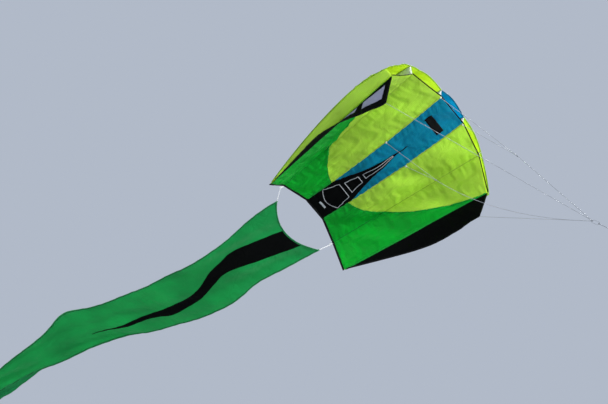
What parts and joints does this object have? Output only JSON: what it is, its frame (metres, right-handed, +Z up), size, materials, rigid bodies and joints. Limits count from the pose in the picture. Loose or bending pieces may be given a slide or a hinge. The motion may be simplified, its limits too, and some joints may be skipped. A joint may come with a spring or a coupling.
{
  "type": "parafoil kite",
  "caption": "Small frameless parafoil kite with open-nosed air cells, side fins, bridle with tow loop, and a long tapering streamer tail.",
  "frame": {"origin": "inside of the tow loop where the flying line pulls on the bridle", "axes": "+X towards the nose (upwind), +Y towards the left wing tip, +Z up"},
  "size_m": [2.7757, 0.7008, 1.7747],
  "materials": {
    "lime_ripstop": "thin coated ripstop, slightly shiny, lets light through",
    "green_ripstop": "thin coated ripstop, slightly shiny, lets light through",
    "blue_ripstop": "thin coated ripstop, slightly shiny, lets light through",
    "black_ripstop": "thin coated ripstop, dull",
    "white_ripstop": "thin uncoated ripstop, lets light through",
    "grey_ripstop": "thin coated ripstop, dull",
    "tail_ripstop": "thin coated ripstop, slightly shiny, lets light through",
    "white_webbing": "narrow woven tape, matt",
    "pale_cord": "thin braided cord, matt",
    "dark_cord": "thin braided cord, matt"
  },
  "bodies": {
    "kite": {"back_right_outer": "lime_ripstop", "belly_lime_right_outer": "lime_ripstop", "belly_green_right_outer": "green_ripstop", "back_right_inner": "lime_ripstop", "belly_lime_right_inner": "lime_ripstop", "belly_green_right_inner": "green_ripstop", "back_middle": "blue_ripstop", "back_left_inner": "lime_ripstop", "belly_lime_left_inner": "lime_ripstop", "belly_green_left_inner": "green_ripstop", "back_left_outer": "lime_ripstop", "belly_lime_left_outer": "lime_ripstop", "belly_green_left_outer": "green_ripstop", "belly_blue_middle": "blue_ripstop", "belly_black_spine": "black_ripstop", "rib_1": "lime_ripstop", "rib_2": "white_ripstop", "rib_3": "white_ripstop", "rib_4": "white_ripstop", "rib_5": "white_ripstop", "rib_6": "lime_ripstop", "trailing_hem": "black_ripstop", "lower_lip_binding": "black_ripstop", "fin_right": "black_ripstop", "fin_pane_front_right": "grey_ripstop", "fin_pane_rear_right": "grey_ripstop", "front_tab_right": "white_webbing", "rear_tab_right": "white_webbing", "tail_tab_right": "white_webbing", "front_leg_right": "pale_cord", "rear_leg_right": "pale_cord", "fin_line_right": "pale_cord", "fin_left": "black_ripstop", "fin_pane_front_left": "grey_ripstop", "fin_pane_rear_left": "grey_ripstop", "front_tab_left": "white_webbing", "rear_tab_left": "white_webbing", "tail_tab_left": "white_webbing", "front_leg_left": "pale_cord", "rear_leg_left": "pale_cord", "fin_line_left": "pale_cord", "front_line": "pale_cord", "rear_line": "pale_cord", "front_fork_knot": "pale_cord", "rear_fork_knot": "pale_cord", "tow_knot": "pale_cord", "tow_loop": "pale_cord"},
    "hitch": {"line_hitch": "dark_cord"},
    "line": {"flying_line": "dark_cord", "line_end_knot": "dark_cord", "line_end_loop": "dark_cord"},
    "tail_cords": {"tail_cord_right": "pale_cord", "tail_cord_left": "pale_cord"},
    "tail_front": {"tail_length_1": "tail_ripstop"},
    "tail_second": {"tail_length_2": "tail_ripstop"},
    "tail_third": {"tail_length_3": "tail_ripstop"},
    "tail_end": {"tail_length_4": "tail_ripstop"}
  },
  "joints": [
    {"name": "hitch_pitch", "type": "hinge", "parent": "kite", "child": "hitch", "pos_m": [0, 0, 0], "axis": [0, 1, 0], "range_deg": [-45, 45]},
    {"name": "line_side_swing", "type": "hinge", "parent": "hitch", "child": "line", "pos_m": [0, 0, 0], "axis": [0.9367, 0, 0.3502], "range_deg": [-45, 45]},
    {"name": "tail_swing", "type": "hinge", "parent": "kite", "child": "tail_cords", "pos_m": [-0.9769, 0, 1.2344], "axis": [0, 1, 0], "range_deg": [-45, 60]},
    {"name": "tail_lift", "type": "hinge", "parent": "tail_cords", "child": "tail_front", "pos_m": [-1.014, 0, 1.208], "axis": [0, 1, 0], "range_deg": [-40, 60]},
    {"name": "tail_flex_front", "type": "hinge", "parent": "tail_front", "child": "tail_second", "pos_m": [-1.444, 0, 1.2343], "axis": [0, 1, 0], "range_deg": [-30, 30]},
    {"name": "tail_flex_middle", "type": "hinge", "parent": "tail_second", "child": "tail_third", "pos_m": [-1.864, 0, 1.5075], "axis": [0, 1, 0], "range_deg": [-30, 30]},
    {"name": "tail_flex_end", "type": "hinge", "parent": "tail_third", "child": "tail_end", "pos_m": [-2.284, 0, 1.563], "axis": [0, 1, 0], "range_deg": [-30, 30]}
  ]
}
